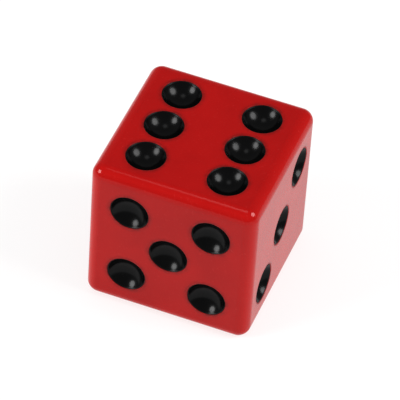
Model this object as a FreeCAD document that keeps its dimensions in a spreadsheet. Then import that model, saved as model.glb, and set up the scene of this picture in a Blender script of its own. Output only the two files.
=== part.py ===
import FreeCAD, Part
import math
import os

import Sketcher

# A red moulded die with right-handed pips. The cube stands on its one, with its centre over the
# origin: the six is up (+Z), the five faces the front (-Y) and the three faces the right (+X).
# Each pip is a cup in the body, lined with a film of dried enamel that stops flush with the face.

doc = FreeCAD.newDocument("die")

# ---- driving dimensions, in millimetres ----
DIMENSIONS = {
    "edge_length": 16.0,        # from one face to the opposite face
    "edge_radius": 1.2,         # rounding of the twelve edges; the corners blend into spheres
    "end_land": 0.53,           # flat between the rounding and the end pip of a row on the six
    "row_land": 0.66,           # flat between neighbouring pips of a row on the six
    "corner_land": 1.0,         # flat between the rounding and a pip in a corner of a face
    "pip_depth": 1.12,          # from the face down to the enamel at the middle of a pip
    "enamel_thickness": 0.13,   # enamel at the bottom of a cup
    "enamel_lip": 0.05,         # width of the enamel's flush ring at the rim of a cup
}
sheet = doc.addObject("Spreadsheet::Sheet", "sizes")
for row, (alias, value) in enumerate(DIMENSIONS.items(), start=1):
    sheet.set("A%d" % row, alias)
    sheet.set("B%d" % row, str(value))
    sheet.setAlias("B%d" % row, alias)
doc.recompute()

# ---- sizes that follow from them, as expressions on the sheet ----
HALF_EDGE = "(sizes.edge_length / 2)"
HALF_FLAT = "(%s - sizes.edge_radius)" % HALF_EDGE
# A row of three fills the six from end to end: its lands are set, and the pips share the rest.
PIP_RADIUS = "((%s - sizes.end_land - sizes.row_land) / 3)" % HALF_FLAT
ROW_STEP = "(2 * %s + sizes.row_land)" % PIP_RADIUS
CORNER_OFFSET = "(%s - sizes.corner_land - %s)" % (HALF_FLAT, PIP_RADIUS)
CUP_DEPTH = "(sizes.pip_depth + sizes.enamel_thickness)"
ENAMEL_RADIUS = "(%s - sizes.enamel_lip)" % PIP_RADIUS
# Radius of the ball that leaves a cup of the pip's radius and of the cup's depth.
CUP_BALL = "(({0} * {0} + {1} * {1}) / (2 * {1}))".format(PIP_RADIUS, CUP_DEPTH)

# ---- the six faces and their pips ----
# A face is seen from outside, with u to the right and v up. Each row gives the outward normal and
# the direction of u in the die's frame; v is the normal crossed with u.
FACES = {
    "one": ((0, 0, -1), (1, 0, 0)),
    "two": ((0, 1, 0), (-1, 0, 0)),
    "three": ((1, 0, 0), (0, 1, 0)),
    "four": ((-1, 0, 0), (0, -1, 0)),
    "five": ((0, -1, 0), (1, 0, 0)),
    "six": ((0, 0, 1), (1, 0, 0)),
}
CENTRE = {"centre": (0, 0)}
RISING = {"lower_left": (-1, -1), "upper_right": (1, 1)}
FALLING = {"upper_left": (-1, 1), "lower_right": (1, -1)}
SIDES = {"middle_left": (-1, 0), "middle_right": (1, 0)}
PIPS = {
    "one": CENTRE,
    "two": FALLING,
    "three": {**RISING, **CENTRE},
    "four": {**RISING, **FALLING},
    "five": {**RISING, **FALLING, **CENTRE},
    "six": {**RISING, **FALLING, **SIDES},
}


def value_of(expression):
    """What an expression on the sheet comes to, in millimetres."""
    return float(sheet.evalExpression(expression))


def face_axes(face):
    """The face's u and v directions and its outward normal, in the die's frame."""
    normal, u_axis = (FreeCAD.Vector(*axis) for axis in FACES[face])
    return u_axis, normal.cross(u_axis), normal


def bind_to_face(item, placement, face, place, height):
    """Bind a placement's base to a pip's place on a face, and to a height over that face."""
    # The rows of three on the six run along v; every other pip sits in a corner of its square.
    v_step = ROW_STEP if face == "six" else CORNER_OFFSET
    steps = (
        "%d * %s" % (place[0], CORNER_OFFSET),
        "%d * %s" % (place[1], v_step),
        "(%s + %s)" % (HALF_EDGE, height),
    )
    for axis in ("x", "y", "z"):
        shares = [(int(getattr(direction, axis)), step)
                  for direction, step in zip(face_axes(face), steps)]
        terms = ["%d * %s" % share for share in shares if share[0] != 0]
        if axis == "z":
            terms.append(HALF_EDGE)
        item.setExpression("%s.Base.%s" % (placement, axis), " + ".join(terms))


def origin_plane(body, role):
    """One of a body's own origin planes, found by its role."""
    return next(item for item in body.Origin.OriginFeatures if item.Role == role)


def new_sketch(body, name, role):
    """A sketch of a body, lying on one of that body's own origin planes."""
    sketch = body.newObject("Sketcher::SketchObject", name)
    sketch.AttachmentSupport = [(origin_plane(body, role), "")]
    sketch.MapMode = "FlatFace"
    return sketch


def bind_distance(sketch, kind, ends, expression):
    """Add a DistanceX or DistanceY between two points and bind it to the sheet."""
    index = sketch.addConstraint(Sketcher.Constraint(kind, *ends, value_of(expression)))
    sketch.setExpression("Constraints[%d]" % index, expression)


# ---- the moulded cube ----
def draw_square(sketch):
    """A square centred on the sketch's origin, its side the edge length."""
    half = value_of(HALF_EDGE)
    corners = [FreeCAD.Vector(x * half, y * half, 0)
               for x, y in ((-1, -1), (1, -1), (1, 1), (-1, 1))]
    for side in range(4):
        sketch.addGeometry(Part.LineSegment(corners[side], corners[(side + 1) % 4]))
    for side in range(4):
        sketch.addConstraint(Sketcher.Constraint("Coincident", side, 2, (side + 1) % 4, 1))
    for side in (0, 2):
        sketch.addConstraint(Sketcher.Constraint("Horizontal", side))
        sketch.addConstraint(Sketcher.Constraint("Vertical", side + 1))
    sketch.addConstraint(Sketcher.Constraint("Equal", 0, 1))
    sketch.addConstraint(Sketcher.Constraint("Symmetric", 0, 1, 1, 2, -1, 1))
    bind_distance(sketch, "DistanceX", (0, 1, 0, 2), "sizes.edge_length")


def sink_cup(body, face, spot, place):
    """Sink a ball into a face, so deep that it leaves one pip's cup."""
    ball = body.newObject("PartDesign::SubtractiveSphere", "cup_%s_%s" % (face, spot))
    ball.AttachmentSupport = [(origin_plane(body, "XY_Plane"), "")]
    ball.MapMode = "FlatFace"
    ball.setExpression("Radius", CUP_BALL)
    bind_to_face(ball, "AttachmentOffset", face, place, "%s - %s" % (CUP_BALL, CUP_DEPTH))


def make_cube():
    """A square padded to a cube, every edge rounded, then a cup for each pip."""
    body = doc.addObject("PartDesign::Body", "cube_body")
    outline = new_sketch(body, "cube_outline", "XY_Plane")
    draw_square(outline)
    pad = body.newObject("PartDesign::Pad", "cube_pad")
    pad.Profile = outline
    pad.setExpression("Length", "sizes.edge_length")
    doc.recompute()
    rounding = body.newObject("PartDesign::Fillet", "edge_rounding")
    rounding.Base = (pad, ["Edge%d" % number for number in range(1, 13)])
    rounding.setExpression("Radius", "sizes.edge_radius")
    doc.recompute()
    plain_volume = rounding.Shape.Volume
    for face, places in PIPS.items():
        for spot, place in places.items():
            sink_cup(body, face, spot, place)
    doc.recompute()
    check_cups(plain_volume - body.Shape.Volume)
    return body


def check_cups(removed):
    """The cups must take away as many spherical caps as there are pips."""
    ball, depth = value_of(CUP_BALL), value_of(CUP_DEPTH)
    cap = math.pi * depth ** 2 * (3 * ball - depth) / 3
    expected = cap * sum(len(places) for places in PIPS.values())
    if abs(removed - expected) > 0.001 * expected:
        raise RuntimeError("the cups took %.3f mm3, not %.3f mm3" % (removed, expected))


# ---- the enamel ----
def draw_crescent(sketch):
    """Half the section of an enamel film: the cup's arc below and the open surface's arc above.

    The arcs start on the axis, at the bottom of the cup and of the pip, and end at the face,
    where the flush lip joins them. Their centres are on the axis, so both are parts of spheres.
    """
    arcs = ((PIP_RADIUS, CUP_DEPTH), (ENAMEL_RADIUS, "sizes.pip_depth"))
    for rim, drop in ((value_of(rim), value_of(drop)) for rim, drop in arcs):
        ball = (rim ** 2 + drop ** 2) / (2 * drop)
        centre = FreeCAD.Vector(0, ball - drop, 0)
        circle = Part.Circle(centre, FreeCAD.Vector(0, 0, 1), ball)
        sketch.addGeometry(Part.ArcOfCircle(circle, -math.pi / 2, math.atan2(drop - ball, rim)))
    for end in (1, 2):
        points = [sketch.getPoint(arc, end) for arc in (0, 1)]
        line = sketch.addGeometry(Part.LineSegment(*points))
        for arc in (0, 1):
            sketch.addConstraint(Sketcher.Constraint("Coincident", arc, end, line, arc + 1))
    for arc, (rim, drop) in enumerate(arcs):
        sketch.addConstraint(Sketcher.Constraint("PointOnObject", arc, 1, -2))
        sketch.addConstraint(Sketcher.Constraint("PointOnObject", arc, 2, -1))
        sketch.addConstraint(Sketcher.Constraint("PointOnObject", arc, 3, -2))
        bind_distance(sketch, "DistanceX", (-1, 1, arc, 2), rim)
        bind_distance(sketch, "DistanceY", (arc, 1, -1, 1), drop)


def make_enamel(face, spot, place):
    """One film of enamel, turned about the pip's axis and placed in its cup."""
    body = doc.addObject("PartDesign::Body", "enamel_%s_%s" % (face, spot))
    section = new_sketch(body, body.Name + "_section", "XZ_Plane")
    draw_crescent(section)
    film = body.newObject("PartDesign::Revolution", body.Name + "_film")
    film.Profile = section
    film.ReferenceAxis = (section, ["V_Axis"])
    film.Angle = 360
    rotation = FreeCAD.Rotation(*face_axes(face), "ZXY")
    body.Placement = FreeCAD.Placement(FreeCAD.Vector(), rotation)
    bind_to_face(body, "Placement", face, place, "0")
    return body


bodies = [make_cube()]
for face, places in PIPS.items():
    for spot, place in places.items():
        bodies.append(make_enamel(face, spot, place))
doc.recompute()

# ---- check everything, then write each piece ----
for item in doc.Objects:
    if {"Invalid", "Error"} & set(item.State):
        raise RuntimeError("%s did not recompute: %s" % (item.Label, item.State))
for body in bodies:
    if body.Shape.isNull() or not body.Shape.isValid() or len(body.Shape.Solids) != 1:
        raise RuntimeError("%s is not one valid solid" % body.Label)

os.makedirs("parts", exist_ok=True)
for body in bodies:
    body.Shape.exportStep("parts/%s.step" % body.Label)
    print("%-28s %9.3f mm3" % (body.Label, body.Shape.Volume))
for name, expression in (("pip radius", PIP_RADIUS), ("row step", ROW_STEP),
                         ("corner offset", CORNER_OFFSET), ("cup ball", CUP_BALL)):
    print("%-28s %9.3f mm" % (name, value_of(expression)))
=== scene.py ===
import math

import bmesh
import bpy
import numpy as np
from mathutils import Matrix, Vector


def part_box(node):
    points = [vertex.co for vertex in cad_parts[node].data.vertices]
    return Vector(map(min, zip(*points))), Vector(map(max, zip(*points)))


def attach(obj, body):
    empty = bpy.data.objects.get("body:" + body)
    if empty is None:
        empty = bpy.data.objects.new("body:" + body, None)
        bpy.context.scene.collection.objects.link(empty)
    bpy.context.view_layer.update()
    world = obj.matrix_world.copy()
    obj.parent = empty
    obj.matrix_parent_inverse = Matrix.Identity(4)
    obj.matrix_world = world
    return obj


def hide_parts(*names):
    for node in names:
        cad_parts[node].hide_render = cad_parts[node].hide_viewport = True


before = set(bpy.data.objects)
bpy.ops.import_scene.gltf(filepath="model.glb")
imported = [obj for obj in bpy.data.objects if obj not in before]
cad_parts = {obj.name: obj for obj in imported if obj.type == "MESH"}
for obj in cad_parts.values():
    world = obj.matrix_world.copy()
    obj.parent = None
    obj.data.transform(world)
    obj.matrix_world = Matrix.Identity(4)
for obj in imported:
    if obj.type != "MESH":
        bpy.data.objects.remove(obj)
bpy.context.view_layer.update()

MM = 0.001

# ---- the die's own sizes; its place and the pips' places and widths come from the parts in model.glb ----
CUBE_LOW, CUBE_HIGH = (np.array(corner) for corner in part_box("cube_body"))
CENTRE = (CUBE_LOW + CUBE_HIGH) / 2
HALF_EDGE = (CUBE_HIGH - CUBE_LOW)[0] / 2
EDGE_RADIUS = 1.2 * MM          # rounding of the edges and corners
HALF_FLAT = HALF_EDGE - EDGE_RADIUS
SINK_DEPTH = 0.015 * MM         # how far the plastic has drawn in at the middle of a face
RIM_RADIUS = 0.045 * MM         # tumbled softness of a cup's rim
FILM_FLOOR = 0.13 * MM          # enamel at the bottom of a cup
FILM_WALL = 0.05 * MM           # enamel up the wall
FILM_STOP = 0.005 * MM          # bare plastic between the rim's rounding and the enamel
FILM_WOBBLE = 0.006 * MM        # unevenness of the enamel's edge
FILM_LEAN = 0.12                # how unevenly the enamel has settled in a cup

# ---- how finely the surfaces are divided ----
SQUARE_STEPS = 20               # along each side of the square round a pip
ROUND_STEPS = 8                 # from a flat to the middle of a rounding
RIM_STEPS = 5                   # over a cup's rim
WALL_STEPS = 12                 # from the bottom of a cup to its rim
FILM_STEPS = 26                 # from the middle of the enamel to its edge
GUARD = 0.02 * MM               # a narrow ring of flat that keeps a rim's shading off the face
BORDER = 0.1 * MM               # the same along a face's roundings
WELD = 0.002 * MM               # points this close are one point
DESIGN_DECIMALS = 5             # of a metre, so a hundredth of a millimetre
SHOULDER = 40                   # the higher, the more squarely the enamel ends

# The turns of the points round a pip, counterclockwise from its square's lower left corner.
AROUND = np.radians(np.linspace(-135, 225, 4 * SQUARE_STEPS, endpoint=False))
WAVES = np.arange(2, 9)         # how often the enamel's edge wavers in one turn

# ---- the stand: where the die is looked at from, and what lights it ----
VIEW_AZIMUTH = 18.5             # degrees, 0 in front of the five and 90 at the three
VIEW_ELEVATION = 44.7
VIEW_ROLL = 4.05
VIEW_DISTANCE = 357 * MM
VIEW_LENS = 350.0
SENSOR_WIDTH = 36
NEAR_LIMIT, FAR_LIMIT = 0.01, 10        # what the lens sees, in metres
LAMP_DISTANCE = 0.5
LAMPS = {                       # azimuth, elevation, width in metres, strength
    "key_lamp": (98, 41, 0.30, 0.48),
    "fill_lamp": (-52, 32, 0.26, 0.44),
    "top_lamp": (-58, 84, 0.18, 0.04),
}
ROOM_GREY = 0.37
FLOOR_RADIUS = 1.2
FLOOR_RINGS = 16
FLOOR_SIDES = 64
FLOOR_GREY = 0.30
FLOOR_GLOW = 0.65
FLOOR_ROUGHNESS = 0.9
EXPOSURE = -0.3

# ---- the finishes: colours, how strongly a mark tints, and what it adds to roughness and relief ----
RED_DEEP = (0.442, 0.0058, 0.0052)
RED_CLEAR = (0.487, 0.0074, 0.0064)
# paler red of the roundings: partly wear, partly a painted highlight
RED_WORN_AND_HIGHLIT = (0.60, 0.012, 0.009)
RED_SCRATCHED = (0.75, 0.10, 0.09)
RED_STAINED = (0.10, 0.008, 0.008)
BLACK_THICK = (0.0030, 0.0033, 0.0036)
BLACK_THIN = (0.0060, 0.0060, 0.0064)
# how far the roundings go to that paler red: wear and painted highlight together
WORN_AND_HIGHLIGHT_TINT = 0.6
SCRATCH_TINT = 0.10
STAIN_TINT = 0.25               # the same all round a rim
BLOTCH_TINT = 0.35              # added where the stain is blotched
PLASTIC_ROUGHNESS = 0.075
SMEAR_ROUGHNESS = 0.06
GRAIN_ROUGHNESS = 0.02
WORN_ROUGHNESS = 0.04
SCRATCH_ROUGHNESS = 0.12
STAIN_ROUGHNESS = 0.15
RIM_ROUGHNESS = 0.30
ENAMEL_ROUGHNESS = 0.16
BRUSHED_ROUGHNESS = 0.10
SPECK_ROUGHNESS = 0.2
FEATHERED_ROUGHNESS = 0.30
PLASTIC_RELIEF = 0.0016 * MM
ENAMEL_RELIEF = 0.006 * MM
GRAIN_SHARE = 0.35              # shares of the relief
SWELL_SHARE = 0.8
SCRATCH_SHARE = 0.4
SPECK_SHARE = 0.4
PLASTIC_IOR = 1.47
ENAMEL_IOR = 1.5
ENAMEL_SHEEN = 0.36             # dried enamel mirrors less than plastic does
STREAK_WIDTH = 0.14             # across a scratch's streak, in millimetres
STREAK_FADE = 0.05              # how softly a scratch ends
MIX_COLOURS, MIX_RESULT = (6, 7), 2     # a Mix node's colour sockets


# =====================================================================================
# Faces and pips
# =====================================================================================
def exact(length):
    """A length read off a faceted piece, to the hundredth of a millimetre it was designed to."""
    return np.round(length, DESIGN_DECIMALS)


class Face:
    """One side of the die: its outward normal, with u to the right and v up seen from outside."""

    def __init__(self, normal):
        self.normal = np.array(normal, float)
        upright = abs(self.normal[2]) < 0.5
        self.u_axis = np.cross((0, 0, 1), self.normal) if upright else np.array((1.0, 0, 0))
        self.v_axis = np.cross(self.normal, self.u_axis)
        self.pips = {}

    def place(self, u, v, height):
        """Points at u and v from the face's middle, at a height over the face."""
        out = HALF_EDGE + height
        return CENTRE + sum(np.multiply.outer(share, axis) for share, axis in
                            ((u, self.u_axis), (v, self.v_axis), (out, self.normal)))

    def step(self, axis):
        """How far the face's outer pips lie from its middle line along u (0) or v (1)."""
        widest = max(abs(pip[axis]) for pip in self.pips.values())
        return widest if widest > WELD else CORNER_STEP


def read_faces():
    """The six sides, each with the places in u and v of the enamel nodes that lie in it."""
    sides = [Face(axis) for axis in np.vstack((np.eye(3), -np.eye(3)))]
    for node in sorted(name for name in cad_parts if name.startswith("enamel_")):
        middle = np.mean(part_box(node), axis=0) - CENTRE
        side = max(sides, key=lambda one: one.normal @ middle)
        side.pips[node] = (exact(middle @ side.u_axis), exact(middle @ side.v_axis))
    return sides


FACES = read_faces()
PIP_LOW, PIP_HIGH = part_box("enamel_one_centre")
PIP_RADIUS = exact((PIP_HIGH - PIP_LOW)[1] / 2)
CUP_DEPTH = exact((PIP_HIGH - PIP_LOW)[2])
BALL_RADIUS = (PIP_RADIUS ** 2 + CUP_DEPTH ** 2) / (2 * CUP_DEPTH)
BALL_HEIGHT = BALL_RADIUS - CUP_DEPTH
CORNER_STEP = exact(abs((np.mean(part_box("enamel_five_upper_left"), axis=0) - CENTRE)[0]))

# The rim's rounding lies in the plastic and touches the flat and the ball's wall. Its centre is
# this far from the pip's axis, and its turn, seen from the ball's centre, ends at this angle.
RIM_CENTRE = math.sqrt((BALL_RADIUS + RIM_RADIUS) ** 2 - (BALL_HEIGHT + RIM_RADIUS) ** 2)
RIM_ANGLE = math.atan2(RIM_CENTRE, BALL_HEIGHT + RIM_RADIUS)


def sink(u, v):
    """How far a face has drawn in: most in its middle, nothing where its roundings start."""
    across = np.clip(1 - (u / HALF_FLAT) ** 2, 0, 1)
    along = np.clip(1 - (v / HALF_FLAT) ** 2, 0, 1)
    return -SINK_DEPTH * across * along


# =====================================================================================
# Meshes from grids
# =====================================================================================
def grid_quads(rows, columns):
    """The quads of a grid of points, each as its corners counterclockwise."""
    first = np.arange(rows * columns).reshape(rows, columns)[:-1, :-1].reshape(-1, 1)
    return first + np.array((0, columns, columns + 1, 1))


def ring_grid(face, middle, u, v, height):
    """Rings round a pip's axis as a grid: rows go outwards, columns round, the last on the first."""
    u, v, height = (np.concatenate((part, part[:, :1]), axis=1)
                    for part in np.broadcast_arrays(u, v, height))
    u, v = u + middle[0], v + middle[1]
    points = face.place(u, v, height + sink(u, v))
    return points.reshape(-1, 3), grid_quads(*u.shape)


def welded(name, grids):
    """One smooth mesh of grids that meet: their points are joined where they lie together."""
    starts = np.cumsum([0] + [len(points) for points, _ in grids[:-1]])
    points = np.concatenate([points for points, _ in grids])
    quads = np.concatenate([quads + start for (_, quads), start in zip(grids, starts)])
    mesh = bpy.data.meshes.new(name)
    mesh.from_pydata(points, [], quads)
    shape = bmesh.new()
    shape.from_mesh(mesh)
    bmesh.ops.remove_doubles(shape, verts=shape.verts, dist=WELD)
    shape.to_mesh(mesh)
    shape.free()
    mesh.shade_smooth()
    return mesh


def new_piece(name, mesh, finish):
    """An object at the origin for a mesh that already lies in its place."""
    piece = bpy.data.objects.new(name, mesh)
    bpy.context.scene.collection.objects.link(piece)
    mesh.materials.append(finish)
    return piece


# =====================================================================================
# The moulded cube
# =====================================================================================
def stations(step):
    """The grid lines across a side: how far along the flat, and how far round the edge.

    They run from the middle of one rounding to its start, over the border of the flat, across
    three squares that are one step wide, and over the other border and rounding.
    """
    turn = np.radians(np.linspace(45, 0, ROUND_STEPS, endpoint=False))
    squares = np.linspace(-1.5 * step, 1.5 * step, 3 * SQUARE_STEPS + 1)
    border = HALF_FLAT - min(BORDER, (HALF_FLAT - 1.5 * step) / 2)
    flat = np.concatenate(((-HALF_FLAT, -border), squares, (border, HALF_FLAT)))
    ends = np.full(ROUND_STEPS, HALF_FLAT)
    return (np.concatenate((-ends, flat, ends)),
            np.concatenate((-turn, np.zeros(len(flat)), turn[::-1])))


def side_grid(face):
    """A side and its half of the roundings, left open where the pips' squares are.

    A point starts on the cube inside the roundings and goes out by the edge radius, in a
    direction whose parts along u and v are the tangents of the turns round the two edges. On a
    rounding, the lines across it slide to the even spacing that the next side's lines share.
    """
    (u_flat, u_turn), (v_flat, v_turn) = stations(face.step(0)), stations(face.step(1))
    even = np.clip(np.linspace(-1, 1, len(u_flat)) * HALF_EDGE, -HALF_FLAT, HALF_FLAT)
    even[np.abs(u_turn) > 0] = u_flat[np.abs(u_turn) > 0]
    u_slide, v_slide = np.abs(u_turn)[:, None] / math.pi * 4, np.abs(v_turn)[None, :] / math.pi * 4
    u = u_flat[:, None] * (1 - v_slide) + even[:, None] * v_slide
    v = v_flat[None, :] * (1 - u_slide) + even[None, :] * u_slide
    u_lean, v_lean = np.broadcast_arrays(np.tan(u_turn)[:, None], np.tan(v_turn)[None, :])
    reach = EDGE_RADIUS / np.sqrt(u_lean ** 2 + v_lean ** 2 + 1)
    points = face.place(u + reach * u_lean, v + reach * v_lean, reach - EDGE_RADIUS + sink(u, v))
    quads = grid_quads(*u.shape)
    middles = np.stack([part.reshape(-1)[quads].mean(1) for part in (u, v)], 1)
    halves = np.array((face.step(0), face.step(1))) / 2
    pips = np.array(list(face.pips.values()))
    in_square = (np.abs(middles[:, None] - pips[None]) < halves).all(2).any(1)
    return points.reshape(-1, 3), quads[~in_square]


def cup_grid(face, middle):
    """A pip's cup, its rim and the square of flat round it, in rings from the bottom outwards.

    The wall is part of a ball. The rim is an arc that touches the wall and the flat. On the flat
    the rings are circles that turn into the square's outline.
    """
    side = np.linspace(-1, 1, SQUARE_STEPS, endpoint=False)
    full = np.ones(SQUARE_STEPS)
    square_u = np.concatenate((side, full, -side, -full)) * face.step(0) / 2
    square_v = np.concatenate((-full, side, full, -side)) * face.step(1) / 2
    wall = np.linspace(0, RIM_ANGLE, WALL_STEPS, endpoint=False)
    rim = np.linspace(RIM_ANGLE, 0, RIM_STEPS)
    radius = np.concatenate((BALL_RADIUS * np.sin(wall), RIM_CENTRE - RIM_RADIUS * np.sin(rim)))
    height = np.concatenate((BALL_HEIGHT - BALL_RADIUS * np.cos(wall),
                             RIM_RADIUS * (np.cos(rim) - 1)))
    guard = RIM_CENTRE + GUARD
    blend = np.array((0, 0.5, 1))[:, None]
    flat_u = (1 - blend) * guard * np.cos(AROUND) + blend * square_u
    flat_v = (1 - blend) * guard * np.sin(AROUND) + blend * square_v
    u = np.vstack((np.multiply.outer(radius, np.cos(AROUND)), flat_u))
    v = np.vstack((np.multiply.outer(radius, np.sin(AROUND)), flat_v))
    heights = np.concatenate((height, np.zeros(len(blend))))[:, None]
    return ring_grid(face, middle, u, v, heights)


def from_centre(mesh):
    """A mesh's points, measured from the die's centre."""
    flat = np.empty(len(mesh.vertices) * 3, np.float32)
    mesh.vertices.foreach_get("co", flat)
    return flat.reshape(-1, 3) - CENTRE


def mark(mesh, name, values):
    """Give each point of a mesh a number that its finish reads."""
    layer = mesh.attributes.new(name, "FLOAT", "POINT")
    layer.data.foreach_set("value", values.astype(np.float32))


def rounded_share(points):
    """0 on the flats, rising to 1 at the crest of the roundings."""
    beyond = np.sort(np.clip(np.abs(points) - HALF_FLAT, 0, EDGE_RADIUS) / EDGE_RADIUS, axis=1)
    return np.clip(beyond[:, 1] * math.sqrt(2), 0, 1)


def rim_distance(points):
    """How far points are from the nearest pip's rim, in millimetres."""
    distance = np.full(len(points), HALF_EDGE)
    for face in FACES:
        for pip in face.pips.values():
            offset = points - (face.place(*np.array(pip), 0) - CENTRE)
            height = offset @ face.normal
            radius = np.linalg.norm(offset - np.multiply.outer(height, face.normal), axis=1)
            distance = np.minimum(distance, np.hypot(radius - RIM_CENTRE, height))
    return distance / MM


def make_cube(finish):
    """The moulded body: six sides with their roundings, and a cup in each pip's square."""
    grids = [side_grid(face) for face in FACES]
    grids += [cup_grid(face, pip) for face in FACES for pip in face.pips.values()]
    mesh = welded("moulded_cube", grids)
    mark(mesh, "rounding", rounded_share(from_centre(mesh)))
    mark(mesh, "rim_distance", rim_distance(from_centre(mesh)))
    cube = new_piece("moulded_cube", mesh, finish)
    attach(cube, "root")
    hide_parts("cube_body")
    return cube


# =====================================================================================
# The enamel
# =====================================================================================
def film_grids(face, middle, chance):
    """The open surface of a film of enamel and its back, which lies on the cup's wall.

    Both run from the middle to an edge that wavers a little. A point's angle at the ball's centre
    is its share of the edge's angle. The open surface stands off the ball by the film's thickness:
    most at the bottom, less up the wall with the square of the share, leaning to the side it
    settled on, and rounding off to nothing at the edge.
    """
    swings = chance.normal(0, 1, len(WAVES)) / WAVES ** 0.5
    starts = chance.uniform(0, 2 * math.pi, len(WAVES))
    wobble = FILM_WOBBLE * (swings[:, None] * np.cos(WAVES[:, None] * AROUND + starts[:, None])).sum(0)
    edge = RIM_ANGLE - (FILM_STOP + np.abs(wobble)) / BALL_RADIUS
    share = np.sin(np.linspace(0, math.pi / 2, FILM_STEPS))[:, None]
    lean = 1 + FILM_LEAN * share * np.cos(AROUND - chance.uniform(0, 2 * math.pi))
    thickness = (FILM_WALL + (FILM_FLOOR - FILM_WALL) * (1 - share ** 2)) * lean
    thickness = thickness * np.sqrt(1 - share ** SHOULDER)
    grids = []
    for stand_off in (thickness, np.zeros_like(thickness)):
        radius = (BALL_RADIUS - stand_off) * np.sin(share * edge)
        height = BALL_HEIGHT - (BALL_RADIUS - stand_off) * np.cos(share * edge)
        u, v = radius * np.cos(AROUND), radius * np.sin(AROUND)
        grids.append(ring_grid(face, middle, u, v, height))
    open_surface, (back_points, back_quads) = grids
    return [open_surface, (back_points, back_quads[:, ::-1])]


def make_enamel(face, node, finish):
    """The dried enamel in one cup."""
    chance = np.random.default_rng(sorted(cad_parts).index(node))
    name = node.replace("enamel", "film")
    mesh = welded(name, film_grids(face, face.pips[node], chance))
    mark(mesh, "rim_distance", rim_distance(from_centre(mesh)))
    film = new_piece(name, mesh, finish)
    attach(film, "root")
    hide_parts(node)
    return film


# =====================================================================================
# Finishes
# =====================================================================================
class Term:
    """A number that varies over a surface. Sums written on it add the Math nodes they need."""

    def __init__(self, finish, socket):
        self.finish = finish
        self.socket = socket

    def math(self, operation, *values):
        """The result of a Math node on these values."""
        made = self.finish.node("ShaderNodeMath", {"operation": operation}, dict(enumerate(values)))
        return Term(self.finish, made.outputs[0])

    def __add__(self, other):
        return self.math("ADD", self, other)

    def __radd__(self, other):
        return self.math("ADD", other, self)

    def __sub__(self, other):
        return self.math("SUBTRACT", self, other)

    def __rsub__(self, other):
        return self.math("SUBTRACT", other, self)

    def __mul__(self, other):
        return self.math("MULTIPLY", self, other)

    def __rmul__(self, other):
        return self.math("MULTIPLY", other, self)

    def between(self, low, high):
        """0 up to low, 1 from high, and straight in between."""
        made = self.finish.node("ShaderNodeMapRange", {"clamp": True},
                                {"Value": self, "From Min": low, "From Max": high})
        return Term(self.finish, made.outputs["Result"])


class Finish:
    """One material and the nodes that make it."""

    def __init__(self, name):
        self.material = bpy.data.materials.new(name)
        self.material.use_nodes = True
        self.tree = self.material.node_tree
        self.tree.nodes.clear()

    def node(self, kind, settings=None, inputs=None):
        """Add a node: first its settings, then its sockets' values or what feeds them."""
        made = self.tree.nodes.new(kind)
        for setting, value in (settings or {}).items():
            setattr(made, setting, value)
        for socket, value in (inputs or {}).items():
            value = value.socket if isinstance(value, Term) else value
            if isinstance(value, bpy.types.NodeSocket):
                self.tree.links.new(value, made.inputs[socket])
            else:
                made.inputs[socket].default_value = value
        return made

    def places(self, turn=(0, 0, 0), unit=(1, 1, 1)):
        """The object's own coordinates along turned axes, each in its unit of millimetres."""
        coordinates = self.node("ShaderNodeTexCoord").outputs["Object"]
        unit = tuple(length * MM for length in unit)
        mapped = self.node("ShaderNodeMapping", {"vector_type": "TEXTURE"},
                           {"Vector": coordinates, "Rotation": turn, "Scale": unit})
        return mapped.outputs[0]

    def noise(self, per_mm, detail=2.0, places=None):
        """Soft noise of so many swells to the millimetre, about 0 to 1."""
        made = self.node("ShaderNodeTexNoise", {"noise_dimensions": "3D"},
                         {"Vector": places or self.places(), "Scale": per_mm, "Detail": detail})
        return Term(self, made.outputs["Fac"])

    def attribute(self, name):
        """A number that the mesh carries at each point."""
        return Term(self, self.node("ShaderNodeAttribute", {"attribute_name": name}).outputs["Fac"])

    def mix(self, factor, *colours):
        """From the first colour to the second as the factor goes from 0 to 1."""
        filled = [(*colour, 1) if isinstance(colour, tuple) else colour for colour in colours]
        made = self.node("ShaderNodeMix", {"data_type": "RGBA"},
                         {"Factor": factor, **dict(zip(MIX_COLOURS, filled))})
        return made.outputs[MIX_RESULT]

    def bump(self, height, distance):
        """Relief that is this distance high, in metres, where the height is 1."""
        made = self.node("ShaderNodeBump", {},
                         {"Height": height, "Distance": distance, "Strength": 1.0})
        return made.outputs["Normal"]

    def finished(self, inputs):
        """Close the tree with the surface shader."""
        surface = self.node("ShaderNodeBsdfPrincipled", {}, inputs)
        self.node("ShaderNodeOutputMaterial", {}, {"Surface": surface.outputs[0]})
        return self.material


def hairlines(finish, turn, length, cut):
    """Fine scratches along one direction: noise drawn out into streaks, with only its crests kept."""
    streaks = finish.places(turn, unit=(length, STREAK_WIDTH, STREAK_WIDTH))
    drawn = finish.node("ShaderNodeTexNoise", {"noise_dimensions": "3D"},
                        {"Vector": streaks, "Scale": 1.0, "Detail": 1.0, "Distortion": 0.5})
    return Term(finish, drawn.outputs["Fac"]).between(cut, cut + STREAK_FADE)


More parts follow.
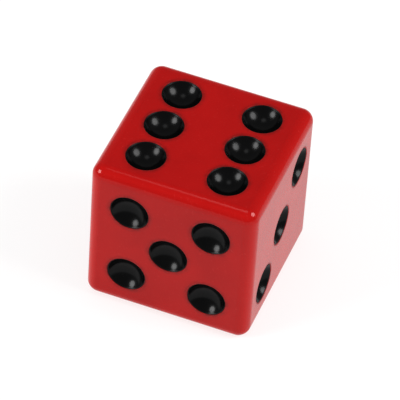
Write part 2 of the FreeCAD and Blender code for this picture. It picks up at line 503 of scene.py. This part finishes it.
def red_plastic():
    """Moulded opaque red plastic, tumbled to a gloss, with handling marks and softened edges.

    The red clouds a little where the pigment is uneven, and is paler on the roundings, partly from
    wear and partly as a painted highlight for the light the edges catch. Black from the painting
    stains it near the cups, most at a rim and fading with the square of the distance.
    """
    finish = Finish("moulded_red_plastic")
    rounding = finish.attribute("rounding")
    rim_distance_mm = finish.attribute("rim_distance")
    rim = 1 - rim_distance_mm.between(low=0.03, high=0.15)
    near_rim = 1 - rim_distance_mm.between(low=0.02, high=0.55)
    cloud = finish.noise(per_mm=0.22, detail=3.0).between(low=0.35, high=0.65)
    grain = finish.noise(per_mm=2.2)
    swell = finish.noise(per_mm=0.7)
    blotch = finish.noise(per_mm=1.6, detail=3.0).between(low=0.40, high=0.62)
    wiped = finish.places(turn=(0.4, 0.9, 0.2), unit=(2.0, 0.7, 1.0))
    smear = finish.noise(per_mm=0.5, detail=4.0, places=wiped).between(low=0.45, high=0.75)
    scratches = (hairlines(finish, turn=(0.3, 0.3, 0.7), length=3.0, cut=0.69)
                 + hairlines(finish, turn=(1.1, -0.8, 2.0), length=2.4, cut=0.70)
                 + hairlines(finish, turn=(0.2, 0.9, -0.5), length=1.8, cut=0.69))
    stain = near_rim * near_rim * (STAIN_TINT + blotch * BLOTCH_TINT)
    red = finish.mix(cloud, RED_DEEP, RED_CLEAR)
    # the roundings turn paler: partly wear, partly a painted highlight where the edges catch light
    red = finish.mix(rounding * WORN_AND_HIGHLIGHT_TINT, red, RED_WORN_AND_HIGHLIT)
    red = finish.mix(stain, red, RED_STAINED)
    red = finish.mix(scratches * SCRATCH_TINT, red, RED_SCRATCHED)
    roughness = (PLASTIC_ROUGHNESS + smear * SMEAR_ROUGHNESS + grain * GRAIN_ROUGHNESS
                 + rounding * WORN_ROUGHNESS + scratches * SCRATCH_ROUGHNESS
                 + stain * STAIN_ROUGHNESS + rim * RIM_ROUGHNESS)
    relief = grain * GRAIN_SHARE + swell * SWELL_SHARE - scratches * SCRATCH_SHARE
    return finish.finished({
        "Base Color": red,
        "Roughness": roughness,
        "Normal": finish.bump(relief, PLASTIC_RELIEF),
        "IOR": PLASTIC_IOR,
    })


def black_enamel():
    """Black gloss enamel that has dried in a cup, with the gentle swells of brushed-on paint.

    It is duller towards its feathered edge and on the few specks of dust that dried into it.
    """
    finish = Finish("dried_black_enamel")
    swell = finish.noise(per_mm=0.9)
    depth = finish.noise(per_mm=1.2, detail=3.0)
    brushed = finish.noise(per_mm=1.5, detail=3.0)
    speck = finish.noise(per_mm=7.0, detail=1.0).between(low=0.72, high=0.78)
    feathered = 1 - finish.attribute("rim_distance").between(low=0.08, high=0.22)
    roughness = (ENAMEL_ROUGHNESS + brushed * BRUSHED_ROUGHNESS + speck * SPECK_ROUGHNESS
                 + feathered * FEATHERED_ROUGHNESS)
    return finish.finished({
        "Base Color": finish.mix(depth, BLACK_THICK, BLACK_THIN),
        "Roughness": roughness,
        "Normal": finish.bump(swell + speck * SPECK_SHARE, ENAMEL_RELIEF),
        "IOR": ENAMEL_IOR,
        "Specular IOR Level": ENAMEL_SHEEN,
    })


# =====================================================================================
# The stand: floor, lamps and camera
# =====================================================================================
def make_floor():
    """A round, pale, evenly lit floor: rings on the ground that get wider outwards."""
    radius = FLOOR_RADIUS * np.linspace(0, 1, FLOOR_RINGS) ** 2
    around = np.linspace(0, 2 * math.pi, FLOOR_SIDES + 1)
    points = np.stack([np.multiply.outer(radius, np.cos(around)),
                       np.multiply.outer(radius, np.sin(around)),
                       np.full((len(radius), len(around)), CUBE_LOW[2])], 2)
    mesh = welded("pale_floor", [(points.reshape(-1, 3), grid_quads(len(radius), len(around)))])
    material = Finish("pale_floor").finished({
        "Base Color": (FLOOR_GREY, FLOOR_GREY, FLOOR_GREY, 1),
        "Roughness": FLOOR_ROUGHNESS,
        "Specular IOR Level": 0.0,
        "Emission Color": (1.0, 1.0, 1.0, 1),
        "Emission Strength": FLOOR_GLOW,
    })
    new_piece("pale_floor", mesh, material)


def direction(azimuth, elevation):
    """The unit vector towards an azimuth, 0 in front and 90 on the right, and an elevation."""
    azimuth, elevation = math.radians(azimuth), math.radians(elevation)
    return Vector((math.sin(azimuth) * math.cos(elevation),
                   -math.cos(azimuth) * math.cos(elevation), math.sin(elevation)))


def make_lamp(name, azimuth, elevation, width, strength):
    """A round soft lamp that faces the die.

    Its strength is its share of the light on a surface that faces it, where a white room is 1,
    so its power is that share times the square of pi times the distance.
    """
    lamp = bpy.data.lights.new(name, "AREA")
    lamp.shape = "DISK"
    lamp.size = width
    lamp.energy = strength * (math.pi * LAMP_DISTANCE) ** 2
    holder = bpy.data.objects.new(name, lamp)
    towards = direction(azimuth, elevation)
    turn = towards.to_track_quat("Z", "Y").to_matrix().to_4x4()
    holder.matrix_world = Matrix.Translation(Vector(CENTRE) + towards * LAMP_DISTANCE) @ turn
    bpy.context.scene.collection.objects.link(holder)


def make_surroundings():
    """An even grey room."""
    world = bpy.data.worlds.new("room")
    world.use_nodes = True
    world.node_tree.nodes["Background"].inputs["Color"].default_value = (ROOM_GREY,) * 3 + (1,)
    bpy.context.scene.world = world


def make_camera():
    """A long lens on the middle of the die."""
    camera = bpy.data.cameras.new("camera")
    camera.sensor_width = SENSOR_WIDTH
    camera.lens = VIEW_LENS
    camera.clip_start, camera.clip_end = NEAR_LIMIT, FAR_LIMIT
    holder = bpy.data.objects.new("camera", camera)
    towards = direction(VIEW_AZIMUTH, VIEW_ELEVATION)
    roll = Matrix.Rotation(math.radians(VIEW_ROLL), 4, "Z")
    turn = towards.to_track_quat("Z", "Y").to_matrix().to_4x4() @ roll
    holder.matrix_world = Matrix.Translation(Vector(CENTRE) + towards * VIEW_DISTANCE) @ turn
    bpy.context.scene.collection.objects.link(holder)
    bpy.context.scene.camera = holder


make_cube(red_plastic())
enamel = black_enamel()
for side in FACES:
    for pip_node in side.pips:
        make_enamel(side, pip_node, enamel)

make_floor()
make_surroundings()
for lamp_name, lamp_values in LAMPS.items():
    make_lamp(lamp_name, *lamp_values)
make_camera()
bpy.context.scene.view_settings.view_transform = "Standard"
bpy.context.scene.view_settings.look = "High Contrast"
bpy.context.scene.view_settings.exposure = EXPOSURE
